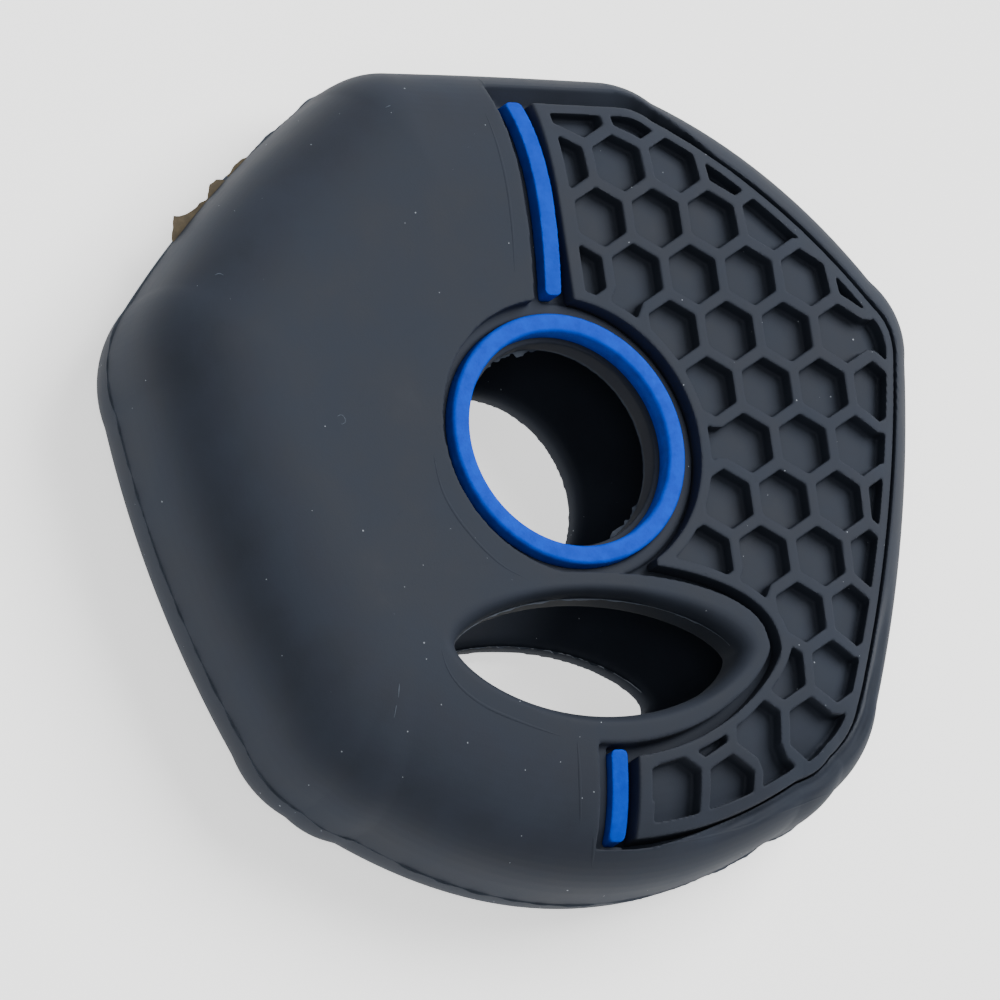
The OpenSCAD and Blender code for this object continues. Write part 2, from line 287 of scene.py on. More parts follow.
def sleeve_corners(hip: tuple[float, float], shoulder: tuple[float, float],
                   shoulder_bow: float) -> list[Corner]:
    """The corners of the sleeve's outline, anticlockwise.

    Args:
        hip: Place of the right hip, where the side turns in.
        shoulder: Place of the right shoulder.
        shoulder_bow: How far the edge above that shoulder bows out.

    Returns:
        The corners.
    """
    return [
        Corner(16, -25.3, 0.6, 0.3),
        Corner(*hip, 10, 0.8),
        Corner(*shoulder, 6.5, shoulder_bow),
        Corner(10.6, 27, 6.5, 0.1),
        Corner(-10.2, 27.45, 6.5, 0.65),
        Corner(-30.3, 8.7, 8, 1),
        Corner(-22.2, -21.9, 10, 0.3),
        Corner(-16, -25.3, 0.6, 4.5),
    ]


@dataclass
class SleeveForm:
    """The sleeve's outline and section, with the same driving sizes as its CAD source.

    Args:
        axis_y: Distance of the button hole's axis above the middle of the outline.
        half_length: Half the outline's length.
    """

    axis_y: float
    half_length: float
    corners: list[Corner] = field(
        default_factory=lambda: sleeve_corners((22.3, -21.1), (30.3, 10.4), 1.25))
    height: float = 14
    seam: float = 4.7
    roll: float = 9
    top_roll_more: float = 4
    top_roll_x: float = 11
    bottom_roll_more: float = 6
    back_roll: float = 3.1
    side_wall: float = 1.8
    face_wall: float = 3.2
    back_wall: float = 1.5
    least_round: float = 0.6
    face_power: float = 2.4
    wall_power: float = 3.8
    tangent_share: float = 0.45
    corner_steps: int = 14
    edge_steps: int = 16
    face_steps: int = 22
    back_steps: int = 12

    def inset_corners(self, corners: list[Corner], inset: float) -> list[Corner]:
        """The corners moved in by an equal distance from every edge.

        Args:
            corners: The corners as they are.
            inset: The distance.

        Returns:
            The moved corners.
        """
        moved = []
        for i, c in enumerate(corners):
            p, way, half = self.at_corner(corners, i)
            p = p + way * inset / math.sin(half)
            moved.append(Corner(p.x, p.y, max(c.round - inset, self.least_round), c.bow))
        return moved

    def at_corner(self, corners: list[Corner], i: int) -> tuple[Vector, Vector, float]:
        """What the outline does at one corner.

        Args:
            corners: The outline's corners.
            i: The number of the corner.

        Returns:
            Its place, the way into the outline and half the angle between its edges.
        """
        here, back, ahead = (Vector((c.x, c.y)) for c in (
            corners[i], corners[i - 1], corners[(i + 1) % len(corners)]))
        to_back, to_ahead = (back - here).normalized(), (ahead - here).normalized()
        return here, (to_back + to_ahead).normalized(), math.acos(to_back.dot(to_ahead)) / 2

    def outline(self, inset: float, full: list[Corner] | None = None) -> Ring:
        """The rounded and bowed outline.

        Args:
            inset: How far it is moved in.
            full: Other corners than the sleeve's own.

        Returns:
            Its points, anticlockwise.
        """
        full = full or self.corners
        corners = self.inset_corners(full, inset)
        count = len(corners)
        spots = [Vector((c.x, c.y)) for c in corners]
        lengths = [(spots[(i + 1) % count] - spots[i]).length for i in range(count)]
        arcs = []
        for i, c in enumerate(corners):
            p, way, half = self.at_corner(corners, i)
            most = self.tangent_share * min(lengths[i], lengths[i - 1]) * math.tan(half)
            r = min(c.round, most)
            centre, sweep = p + way * r / math.sin(half), math.pi / 2 - half
            arcs.append([
                centre + Matrix.Rotation(sweep * (2 * k / self.corner_steps - 1), 2) @ -way * r
                for k in range(self.corner_steps + 1)])
        ring = []
        for i in range(count):
            first, last = arcs[i][-1], arcs[(i + 1) % count][0]
            after = full[(i + 1) % count]
            bow = full[i].bow * lengths[i] / math.hypot(after.x - full[i].x, after.y - full[i].y)
            along = (last - first).normalized()
            out = Vector((along.y, -along.x))
            steps = self.edge_steps * (2 if i == count - 1 else 1)
            shares = [k / steps for k in range(1, steps)]
            ring += arcs[i]
            ring += [first.lerp(last, t) + out * bow * 4 * t * (1 - t) for t in shares]
        return ring

    def level(self, inset: float) -> Ring:
        """A level of the face, drawn in further toward the top and bottom edges.

        Args:
            inset: How far it is moved in.

        Returns:
            Its points.
        """
        ring = []
        for p in self.outline(inset):
            from_middle = p.y + self.axis_y
            top_more = self.top_roll_more / (1 + (p.x / self.top_roll_x) ** 4)
            more = top_more if from_middle > 0 else self.bottom_roll_more
            drawn = more * from_middle / self.half_length * inset / self.roll
            ring.append(Vector((p.x, p.y - drawn)))
        return ring

    def placed(self, ring: Ring, height: float = 0) -> Ring:
        """Stands a ring of points round the button hole's axis in the frame, and turns it to metres."""
        return [mm(p.x, p.y + self.axis_y, height) for p in ring]

    def slab(self, name: str, low: float, high: float) -> bpy.types.Object:
        """Everything between two heights."""
        return prism(name, self.placed(circle(1.5 * WIDE, 12)), low * MM, high * MM)

    def face_rings(self, side: float, drop: float) -> list[Ring]:
        """The rings of the face's skin, or of one below it.

        Args:
            side: The depth below the skin at the seam.
            drop: The depth below the top of the face.

        Returns:
            The rings from the seam to the top.
        """
        rings = []
        rise = self.height - drop - self.seam
        for k in range(self.face_steps + 1):
            a = math.pi / 2 * k / self.face_steps
            inset = side + (self.roll - side) * (1 - max(math.cos(a), 0) ** (2 / self.face_power))
            height = self.seam + rise * math.sin(a) ** (2 / self.wall_power)
            rings.append(self.placed(self.level(inset), height))
        return rings

    def back_rings(self, side: float, wall: float) -> list[Ring]:
        """The rings of the back's skin, or of the inside of it.

        Args:
            side: The depth below the skin at the seam.
            wall: The height of the lowest ring.

        Returns:
            The rings from the lowest to the seam.
        """
        rings = []
        for k in range(self.back_steps, -1, -1):
            a = math.pi / 2 * k / self.back_steps
            inset = side + self.back_roll * (1 - math.cos(a))
            height = self.seam - (self.seam - wall) * math.sin(a)
            rings.append(self.placed(self.outline(inset), height))
        return rings

    def skin(self, name: str, side: float, drop: float, foot: float = 0.5) -> bpy.types.Object:
        """Everything under a skin that lies `side` in from the face at the seam and `drop` below its top."""
        base = self.placed(self.level(side), self.seam - foot)
        return loft(name, [base, *self.face_rings(side, drop)])


@dataclass
class HoleForm:
    """The round button hole and the almond-shaped loop hole."""

    radius: float = 7.1
    ledge: float = 0.27
    ring_w: float = 1.43
    groove_w: float = 0.85
    loop_y: float = 14.6
    half: float = 10.8
    up: float = 3.7
    down: float = 4.6
    rear_half: float = 10.4
    rear_up: float = 3.9
    rear_down: float = 4.3
    lip_side: float = 2.1
    lip_up: float = 1.5
    lip_down: float = 2.1
    lip_round: float = 1.4
    lip_round_share: float = 0.65
    lip_tight: float = 0.4
    lip_over: float = 1.02
    lip_steps: int = 8
    loop_power: float = 1.3
    lip_up_power: float = 0.8
    lip_down_power: float = 1.5
    steps: int = 144

    @property
    def groove(self) -> float:
        """Radius of the groove round the ring."""
        return self.radius + self.ledge + self.ring_w + self.groove_w

    @property
    def lip_low(self) -> float:
        """Height of the lip's lowest point, which lies below the axis."""
        return -self.loop_y - self.down - self.lip_down

    def almond(self, half: float, up: float, down: float, powers: tuple[float, float]) -> Ring:
        """An almond with its tips beside the loop hole's middle.

        Args:
            half: Its half length.
            up: Its rise above the tips.
            down: Its fall below the tips.
            powers: How pointed its upper and its lower half are.

        Returns:
            Its points.
        """
        ring = []
        for k in range(self.steps):
            a = math.tau * k / self.steps
            s = math.sin(a)
            y = up * s ** powers[0] if s >= 0 else -down * (-s) ** powers[1]
            ring.append(Vector((half * math.cos(a), y - self.loop_y)))
        return ring

    def loop(self) -> Ring:
        """The edge of the loop hole in the face."""
        return self.almond(self.half, self.up, self.down, (self.loop_power, self.loop_power))

    def rear_loop(self, grow: float = 0) -> Ring:
        """The edge of the loop hole in the back wall."""
        return self.almond(self.rear_half + grow, self.rear_up + grow, self.rear_down + grow,
                           (self.loop_power, self.loop_power))

    def lip(self, grow: float = 0) -> Ring:
        """The outer edge of the loop hole's lip."""
        return self.almond(
            self.half + self.lip_side + grow, self.up + self.lip_up + grow,
            self.down + self.lip_down + grow, (self.lip_up_power, self.lip_down_power))


# Finishes

def linear(hex_colour: str) -> tuple[float, float, float, float]:
    """Turns an sRGB hex colour to linear values.

    Args:
        hex_colour: The colour, such as "#23272e".

    Returns:
        Red, green, blue and alpha.
    """
    values = [int(hex_colour[k:k + 2], 16) / 255 for k in (1, 3, 5)]
    red, green, blue = (v / 12.92 if v <= 0.04045 else ((v + 0.055) / 1.055) ** 2.4 for v in values)
    return red, green, blue, 1.0


def blank(name: str) -> bpy.types.Material:
    """Makes a material with nothing in its node tree.

    Args:
        name: The material's name.

    Returns:
        The material.
    """
    material = bpy.data.materials.new(name)
    material.use_nodes = True
    material.node_tree.nodes.clear()
    return material


def add_node(tree: bpy.types.NodeTree, kind: str, inputs: dict[str | int, object] | None = None,
             **options: object) -> bpy.types.Node:
    """Adds a node with its settings and links.

    Args:
        tree: The material's tree.
        kind: Blender's name for the node.
        inputs: What each socket holds: a value, or the socket that it is linked from.
        options: The node's own options.

    Returns:
        The node.
    """
    node = tree.nodes.new(kind)
    for name, value in options.items():
        setattr(node, name, value)
    for name, value in (inputs or {}).items():
        if isinstance(value, bpy.types.NodeSocket):
            tree.links.new(value, node.inputs[name])
        else:
            node.inputs[name].default_value = value
    return node


@dataclass(frozen=True)
class SiliconeFinish:
    """Compression-moulded silicone rubber: it copies the fine spark-eroded grain of its steel mould, which
    gives the eye a dull, even skin with a faint cloudiness where the pigment and the handling vary.

    Args:
        name: The finish's name.
        shade: The deeper colour of its skin.
        light: The lighter colour of its cloudy patches.
        dust: The colour of the specks that cling to it.
        cloud_mm: The size of the cloudy patches.
        grain_mm: The size of the mould's grain, drawn coarser than the real 0.05 mm so that it shows.
        grain_depth_mm: The depth of the grain.
        roughness: How dull the skin is.
        gloss: How strongly it mirrors.
        speck_mm: The spacing of the dust specks.
        speck_share: How much of a speck's cell the largest speck fills.
    """

    name: str
    shade: str
    light: str
    dust: str = "#8d939b"
    cloud_mm: float = 5.0
    grain_mm: float = 0.16
    grain_depth_mm: float = 0.006
    roughness: float = 0.72
    gloss: float = 0.3
    speck_mm: float = 0.85
    speck_share: float = 0.075

    def material(self) -> bpy.types.Material:
        """Builds the material.

        Returns:
            The material.
        """
        material = blank(self.name)
        tree = material.node_tree
        place = add_node(tree, "ShaderNodeTexCoord").outputs["Object"]
        cloud = add_node(tree, "ShaderNodeTexNoise", {
            "Vector": place, "Scale": 1 / (self.cloud_mm * MM), "Detail": 5.0, "Roughness": 0.6})
        cloudy = add_node(tree, "ShaderNodeMapRange", {
            "Value": cloud.outputs["Fac"], "From Min": 0.35, "From Max": 0.65})
        colour = add_node(tree, "ShaderNodeMix", {
            "Factor": cloudy.outputs["Result"], "A": linear(self.shade), "B": linear(self.light)},
            data_type="RGBA")
        cells = add_node(tree, "ShaderNodeTexVoronoi", {
            "Vector": place, "Scale": 1 / (self.speck_mm * MM), "Randomness": 1.0})
        size = add_node(tree, "ShaderNodeSeparateColor", {"Color": cells.outputs["Color"]})
        reach = add_node(tree, "ShaderNodeMapRange", {
            "Value": size.outputs["Red"], "From Min": 0.6, "From Max": 1.0,
            "To Min": 0.0, "To Max": self.speck_share})
        speck = add_node(tree, "ShaderNodeMath", {
            0: cells.outputs["Distance"], 1: reach.outputs["Result"]}, operation="LESS_THAN")
        dusty = add_node(tree, "ShaderNodeMix", {
            "Factor": speck.outputs["Value"], "A": colour.outputs["Result"], "B": linear(self.dust)},
            data_type="RGBA")
        grain = add_node(tree, "ShaderNodeTexNoise", {
            "Vector": place, "Scale": 1 / (self.grain_mm * MM), "Detail": 3.0, "Roughness": 0.6})
        bump = add_node(tree, "ShaderNodeBump", {
            "Height": grain.outputs["Fac"], "Strength": 1.0, "Distance": self.grain_depth_mm * MM})
        dull = add_node(tree, "ShaderNodeMapRange", {
            "Value": cloud.outputs["Fac"], "From Min": 0.3, "From Max": 0.7,
            "To Min": self.roughness - 0.05, "To Max": self.roughness + 0.07})
        shader = add_node(tree, "ShaderNodeBsdfPrincipled", {
            "Base Color": dusty.outputs["Result"], "Roughness": dull.outputs["Result"],
            "Normal": bump.outputs["Normal"], "IOR": 1.41, "Specular IOR Level": self.gloss})
        add_node(tree, "ShaderNodeOutputMaterial", {"Surface": shader.outputs["BSDF"]})
        return material


@dataclass(frozen=True)
class LitPanelFinish:
    """A sheet of pale acrylic lit softly from below, as a product table is: even, with no pattern."""

    colour: str = "#f1f1f0"
    glow: float = 1.3

    def material(self) -> bpy.types.Material:
        """Builds the material.

        Returns:
            The material.
        """
        material = blank("pale_floor")
        shader = add_node(material.node_tree, "ShaderNodeBsdfPrincipled", {
            "Base Color": linear(self.colour), "Roughness": 0.6,
            "Emission Color": linear(self.colour), "Emission Strength": self.glow})
        add_node(material.node_tree, "ShaderNodeOutputMaterial", {"Surface": shader.outputs["BSDF"]})
        return material


# Black silicone straight from the mould, with the dull grain of spark-eroded steel
SLEEVE = SiliconeFinish("sleeve_silicone", "#242933", "#292f3a")
# The same black silicone on the pad, painted a little paler than the sleeve: painted light that lifts the
# shade in its sunk cells
PAINTED_LIGHT_GRIP = SiliconeFinish("grip_silicone", "#262b35", "#2b313c")
# Pigmented blue silicone poured into the channel and left to cure, so that its skin is faintly uneven
RING_BLUE = SiliconeFinish(
    "ring_silicone", "#003cb6", "#0048cc", "#7fb2ea", cloud_mm=0.9, roughness=0.6, speck_share=0.02,
    gloss=0.1, grain_mm=0.45, grain_depth_mm=0.03)
# The same blue silicone in the stripes, a shade deeper
STRIPE_BLUE = replace(RING_BLUE, name="stripe_silicone", shade="#0039ae", light="#0044c0", cloud_mm=1.2)
# Silicone squeezed out as thin as paper, which light shines through brown
FLASH = SiliconeFinish("flash_silicone", "#514838", "#6b5f49", cloud_mm=1.0, roughness=0.6)
# Silicone torn at the parting line, which has no grain of the mould and looks paler
RAW_EDGE = SiliconeFinish("raw_edge_silicone", "#3a414c", "#4a525e", cloud_mm=1.0, roughness=0.6)
# Silicone whose skin was scuffed pale in use
CHALKY = SiliconeFinish("scratched_silicone", "#434b56", "#59626e", cloud_mm=0.6, roughness=0.7)


# Pieces

@dataclass
class Moulding:
    """How finely a moulded piece is drawn, and how its edges are rounded.

    Args:
        voxel_mm: The spacing of its surface points.
        rounds: How many times the surface is smoothed, which rounds its edges.
        triangles: The most triangles that are left.
    """

    voxel_mm: float = 0.14
    rounds: int = 6
    triangles: int = 170_000

    def shape(self, piece: bpy.types.Object) -> None:
        """Gives a sharp-edged solid the soft edges of a moulding.

        Args:
            piece: The solid.
        """
        voxel = self.voxel_mm * 1
        apply(piece, "REMESH", mode="VOXEL", voxel_size=voxel * MM, use_smooth_shade=True)
        apply(piece, "SMOOTH", factor=0.5, iterations=self.rounds)
        piece.data.calc_loop_triangles()
        made = len(piece.data.loop_triangles)
        if made > self.triangles:
            apply(piece, "DECIMATE", decimate_type="COLLAPSE", ratio=self.triangles / made)


def finish_piece(piece: bpy.types.Object, material: bpy.types.Material, slot: str, *nodes: str) -> None:
    """Dresses a finished piece and ties it to the frame.

    Args:
        piece: The piece.
        material: Its material.
        slot: The record's material slot of the piece; not used.
        nodes: The CAD nodes that it stands for.
    """
    piece.data.materials.clear()
    piece.data.materials.append(material)
    select_only(piece)
    bpy.ops.object.shade_smooth_by_angle(angle=math.radians(40))
    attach(piece, "root")
    if nodes:
        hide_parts(*nodes)
    piece.data.calc_loop_triangles()
    log.info("%s: %d triangles", piece.name, len(piece.data.loop_triangles))


@dataclass
class ChannelForm:
    """The channel in the face and what lies in it."""

    form: SleeveForm
    holes: HoleForm
    depth: float = 1.6
    side_depth: float = 0.9
    wall_x: float = 1.25
    corners: list[Corner] = field(
        default_factory=lambda: sleeve_corners((21.6, -21.5), (30.3, 9.5), 1.2))
    drop: float = 0.45
    stripe_bow: float = 0.45
    rim: float = 2.25
    stripe_x: float = 0.38
    stripe_w: float = 1.25
    stripe_sink: float = 0.2
    stripe_gap: float = 0.35
    lane_steps: int = 24
    foot_room: float = 0.5
    foot_rise: float = 0.2
    prism_foot: float = 0.5
    bed_gap: float = 0.03
    bed_height: float = 0.45
    low_bed_height: float = 0.9
    bed_overlap: float = 0.1
    side_overlap: float = 0.2
    foot_overlap: float = 0.3
    foot_depth: float = 3.0
    # Start and length of the stretches up and to the left over which the wall starts to lean
    lean_y: tuple[float, float] = (16.0, 7.0)
    lean_x: tuple[float, float] = (-15.0, 5.0)
    # Start and length of the stretches down and to the left over which the foot gets its room
    room_y: tuple[float, float] = (24.0, 3.0)
    room_x: tuple[float, float] = (-9.0, 6.0)
    # Height, inset and lean of the levels of the channel's wall
    wall_levels: tuple[tuple[float, float, float], ...] = (
        (5.2, 2.68, 0.0), (10.3, 2.68, 0.0), (13.0, 2.45, 3.0), (18.0, 2.35, 3.0))

    @property
    def top_y(self) -> float:
        """Height of the channel's top end.

        Returns:
            The distance above the button hole's axis.
        """
        right, left = self.form.corners[3:5]
        share = (right.x - self.stripe_x) / (right.x - left.x)
        return right.y + (left.y - right.y) * share - self.rim - self.drop

    @property
    def bottom_y(self) -> float:
        """Height of the channel's bottom end, which lies below the axis."""
        return self.rim - self.drop + self.form.corners[0].y - self.form.corners[-1].bow

    @property
    def foot_y(self) -> float:
        """Height of the lower stripe's foot."""
        return self.bottom_y + self.stripe_gap + self.foot_rise

    def outline(self, inset: float) -> Ring:
        """The outline of the channel, or of what lies in it."""
        ring = self.form.outline(inset, self.corners)
        return [Vector((p.x, p.y - self.drop)) for p in ring]

    def lane(self, x: float, low: float, high: float, bow: float) -> Ring:
        """Points up a line beside a stripe, whose middle bows to the right."""
        shares = [k / self.lane_steps for k in range(self.lane_steps + 1)]
        return [Vector((x + bow * 4 * t * (1 - t), low + (high - low) * t)) for t in shares]

    def leaned(self, inset: float, lean: float) -> Ring:
        """A level of the channel's outer wall, which leans out below the top edge of the face.

        Args:
            inset: How far it is moved in from the outline.
            lean: How far it leans out at the top edge.

        Returns:
            The points.
        """
        ring = []
        for p in self.outline(inset):
            near_top = ramp(p.y, *self.lean_y) * ramp(-p.x, *self.lean_x)
            near_foot = ramp(-p.y, *self.room_y) * ramp(-p.x, *self.room_x)
            ring.append(Vector((p.x, p.y + lean * near_top - self.foot_room * near_foot)))
        return ring

    def upright(self, name: str, plan: Ring) -> bpy.types.Object:
        """A prism over a plan, from just above the seam to well above the face."""
        ring = self.form.placed(plan)
        return prism(name, ring, (self.form.seam + self.prism_foot) * MM, (self.form.height + 2 * REACH) * MM)

    def floor(self, name: str, lower: float = 0) -> bpy.types.Object:
        """Everything under the channel's floor."""
        return self.form.skin(name, self.side_depth - lower / 2, self.depth - lower)

    def cutter(self) -> bpy.types.Object:
        """The solid that cuts the channel out of the face.

        Returns:
            The solid.
        """
        cutter = loft("channel", [self.form.placed(self.leaned(inset, lean), height)
                                  for height, inset, lean in self.wall_levels])
        lane = self.lane(-self.wall_x, self.holes.groove, self.top_y, self.stripe_bow)
        left_low, right_low, right_high, left_high = box(-self.wall_x, -WIDE, WIDE, WIDE)
        right = [right_low, right_high, left_high, *reversed(lane), left_low]
        combine(cutter, self.upright("right_half", right), Cut.SHARED)
        combine(cutter, self.upright("groove", circle(self.holes.groove)), Cut.BOTH)
        combine(cutter, self.floor("floor"), Cut.AWAY)
        combine(cutter, self.bed(), Cut.AWAY)
        combine(cutter, self.upright("lip", self.holes.lip()), Cut.AWAY)
        return cutter

    def bed(self) -> bpy.types.Object:
        """The sleeve's silicone that crept up round the foot of the ring and beside the stripes.

        Returns:
            The solid.
        """
        holes = self.holes
        bed = self.upright("bed", circle(holes.groove + self.bed_overlap))
        room = circle(holes.groove - holes.groove_w + self.bed_gap)
        combine(bed, self.upright("ring_room", room), Cut.AWAY)
        right_x, left_x = self.stripe_x - self.stripe_w / 2 - self.bed_gap, -self.wall_x - self.side_overlap
        right = self.lane(right_x, holes.groove, self.top_y, self.stripe_bow)
        left = self.lane(left_x, holes.groove, self.top_y, self.stripe_bow)
        combine(bed, self.upright("upper_side", [*right, *reversed(left)]), Cut.BOTH)
        combine(bed, self.floor("bed_floor", self.bed_height), Cut.SHARED)
        foot_x, foot_y = right_x + self.stripe_w + self.foot_overlap, self.foot_y - self.bed_gap
        end_y = foot_y - self.foot_depth
        lower = [Vector(p) for p in (
            (left_x, end_y), (foot_x, end_y), (foot_x, foot_y), (right_x, foot_y),
            (right_x, holes.lip_low), (left_x, holes.lip_low))]
        corner = self.upright("lower_side", lower)
        combine(corner, self.floor("corner_floor", self.low_bed_height), Cut.SHARED)
        combine(bed, corner, Cut.BOTH)
        return bed


@dataclass
class FrontShell:
    """The front half of the sleeve: face, side wall down to the seam, channel and both holes."""

    form: SleeveForm
    holes: HoleForm
    channel: ChannelForm
    moulding: Moulding = field(default_factory=lambda: Moulding(0.125, 9, 190_000))
    spare: float = 0.8
    fold_x: float = 5.0
    fold_y: float = -9.0
    fold_fade: tuple[float, float] = (5.0, 8.0)
    fold_inset: float = 1.9
    fold_w: float = 0.5
    fold_depth: float = 0.75
    fold_wave: float = 0.35
    fold_wave_length: float = 3.0

    def build(self) -> bpy.types.Object:
        """Models the shell.

        Returns:
            The shell.
        """
        form = self.form
        shell = form.skin("front_sleeve", 0, 0, self.spare)
        combine(shell, form.skin("hollow", form.side_wall, form.face_wall, 2 * self.spare), Cut.AWAY)
        combine(shell, self.channel.cutter(), Cut.AWAY)
        combine(shell, self.lip_cutter(), Cut.AWAY)
        bore = form.placed(circle(self.holes.radius))
        combine(shell, prism("bore", bore, 0, (form.height + REACH) * MM), Cut.AWAY)
        self.moulding.shape(shell)
        self.fold(shell)
        combine(shell, form.slab("below_seam", 0, form.seam), Cut.AWAY)
        return shell

    def fold(self, shell: bpy.types.Object) -> None:
        """Presses the soft fold into the rim below the pad's lower corner.

        Args:
            shell: The shell.
        """
        tree = lookup([p for p in spread(self.form.outline(self.fold_inset), 0.2)
                       if p.x > self.fold_x - 2 and p.y < self.fold_y + 2])
        for vertex in shell.data.vertices:
            x, y, height = vertex.co.x / MM, vertex.co.y / MM - self.form.axis_y, vertex.co.z / MM
            if x < self.fold_x - 1 or y > self.fold_y + 1 or height < self.form.seam + 2:
                continue
            place, _, away = tree.find((x, y, 0))
            fade = ramp(x, self.fold_x, self.fold_fade[0]) * ramp(-y, -self.fold_y, self.fold_fade[1])
            wave = 1 + self.fold_wave * noise.noise(place / self.fold_wave_length)
            vertex.co.z -= MM * fade * wave * self.fold_depth * math.exp(-(away / self.fold_w) ** 2)

    def lip_cutter(self) -> bpy.types.Object:
        """The solid that cuts the loop hole and rounds its lip.

        Returns:
            The solid.
        """
        form, holes = self.form, self.holes
        inner, outer = holes.loop(), holes.lip()
        rings = [form.placed(inner, 0)]
        for k in range(holes.lip_steps + 1):
            a = math.pi / 2 * k / holes.lip_steps
            height = form.height - holes.lip_round * (1 - math.sin(a))
            rings.append(form.placed(self.rounded(inner, outer, 1 - math.cos(a)), height))
        rings.append(form.placed(self.rounded(inner, outer, holes.lip_over), form.height + REACH))
        return loft("lip_cut", rings)

    def rounded(self, inner: Ring, outer: Ring, share: float) -> Ring:
        """A level of the lip's round, which is tighter along the upper edge of the loop hole.

        Args:
            inner: The hole's edge.
            outer: The lip's outer edge.
            share: How far the level lies along the round.

        Returns:
            The points.
        """
        holes = self.holes
        ring = []
        for p, q in zip(inner, outer):
            tight = 1 - holes.lip_tight * max(0, (p.y + holes.loop_y) / holes.up)
            ring.append(p.lerp(q, holes.lip_round_share * share * tight))
        return ring


@dataclass
class RearShell:
    """The back half of the sleeve, with the round hole and the loop hole that daylight comes through."""

    form: SleeveForm
    holes: HoleForm
    moulding: Moulding = field(default_factory=lambda: Moulding(0.16, 4, 120_000))
    spare: float = 0.8
    rim_round: float = 0.75
    rim_steps: int = 8

    def build(self) -> bpy.types.Object:
        """Models the shell.

        Returns:
            The shell.
        """
        form, radius, loop = self.form, self.holes.radius, self.holes.rear_loop
        top = form.seam + self.spare
        outer = [*form.back_rings(0, 0), form.placed(form.outline(0), top)]
        shell = loft("rear_sleeve", outer)
        inner = [*form.back_rings(form.side_wall, form.back_wall),
                 form.placed(form.outline(form.side_wall), top + self.spare)]
        combine(shell, loft("hollow", inner), Cut.AWAY)
        combine(shell, self.flared("bore", circle(radius), circle(radius + self.rim_round)), Cut.AWAY)
        combine(shell, self.flared("loop", loop(), loop(self.rim_round)), Cut.AWAY)
        self.moulding.shape(shell)
        combine(shell, form.slab("above_seam", form.seam, 2 * form.height), Cut.AWAY)
        return shell

    def flared(self, name: str, narrow: Ring, wide: Ring) -> bpy.types.Object:
        """A cutter whose hole rounds over to the hollow.

        Args:
            name: The cutter's name.
            narrow: The hole's edge.
            wide: The edge of the round at the inside of the wall.

        Returns:
            The cutter.
        """
        form, steps = self.form, self.rim_steps
        rings = [form.placed(narrow, -REACH / 2)]
        for k in range(steps + 1):
            a = math.pi / 2 * k / steps
            height = form.back_wall - self.rim_round * (1 - math.sin(a))
            rings.append(form.placed([p.lerp(q, 1 - math.cos(a)) for p, q in zip(narrow, wide)], height))
        rings.append(form.placed(wide, form.seam + REACH))
        return loft(name, rings)


@dataclass
class ButtonRing:
    """The coloured ring round the button hole, spun from its section."""

    form: SleeveForm
    holes: HoleForm
    channel: ChannelForm
    height: float = 1.3
    trimmed: float = 0.12
    edge: float = 0.28
    steps: int = 192

    def build(self) -> bpy.types.Object:
        """Models the ring.

        Returns:
            The ring.
        """
        inner = self.holes.radius + self.holes.ledge + self.trimmed
        width = self.holes.ring_w - self.trimmed
        foot = self.form.height - self.channel.depth
        bpy.ops.object.select_all(action="DESELECT")
        bpy.ops.mesh.primitive_plane_add(size=1)
        ring = bpy.context.active_object
        ring.name = "button_ring_trim"
        bpy.ops.object.mode_set(mode="EDIT")
        bpy.ops.mesh.select_all(action="SELECT")
        bpy.ops.transform.rotate(value=math.pi / 2, orient_axis="X", center_override=(0, 0, 0))
        bpy.ops.transform.resize(value=mm(width, 1, self.height))
        middle = mm(inner + width / 2, self.form.axis_y, foot + self.height / 2)
        bpy.ops.transform.translate(value=middle)
        mesh = bmesh.from_edit_mesh(ring.data)
        for vertex in mesh.verts:
            vertex.select = vertex.co.z > middle.z
        mesh.select_flush_mode()
        bmesh.update_edit_mesh(ring.data)
        bpy.ops.mesh.bevel(offset=self.edge * MM, segments=6, affect="VERTICES")
        bpy.ops.mesh.select_all(action="SELECT")
        axis = mm(0, self.form.axis_y, 0)
        bpy.ops.mesh.spin(steps=self.steps, angle=math.tau, center=axis, axis=(0, 0, 1))
        bpy.ops.mesh.select_all(action="SELECT")
        bpy.ops.mesh.remove_doubles(threshold=1e-6)
        bpy.ops.mesh.normals_make_consistent(inside=False)
        bpy.ops.object.mode_set(mode="OBJECT")
        return ring


@dataclass
class Stripe:
    """A coloured strip in the channel, with rounded corners and a rounded top."""

    channel: ChannelForm
    name: str
    low: float
    high: float
    bow: float
    corner: float = 0.4
    corner_steps: int = 6
    moulding: Moulding = field(default_factory=lambda: Moulding(0.06, 8, 40_000))

    def build(self) -> bpy.types.Object:
        """Models the strip.

        Returns:
            The strip.
        """
        channel, radius = self.channel, self.corner
        half = channel.stripe_w / 2
        low, high = self.low + radius, self.high - radius
        right = channel.lane(channel.stripe_x + half, low, high, self.bow)
        left = channel.lane(channel.stripe_x - half, low, high, self.bow)
        turns = [math.pi / 2 * k / self.corner_steps for k in range(1, self.corner_steps + 1)]
        inner = half - radius
        rounds = [[Vector((channel.stripe_x + way * (inner + radius * math.cos(a)),
                           end + up * radius * math.sin(a))) for a in turns]
                  for way, end, up in ((1, high, 1), (-1, high, 1), (-1, low, -1), (1, low, -1))]
        strip = channel.upright(self.name, [
            *right, *rounds[0], *reversed(rounds[1]), *reversed(left), *rounds[2], *reversed(rounds[3])])
        skin = channel.form.skin("skin", channel.stripe_sink, channel.stripe_sink)
        combine(strip, skin, Cut.SHARED)
        combine(strip, channel.floor("floor"), Cut.AWAY)
        self.moulding.shape(strip)
        return strip


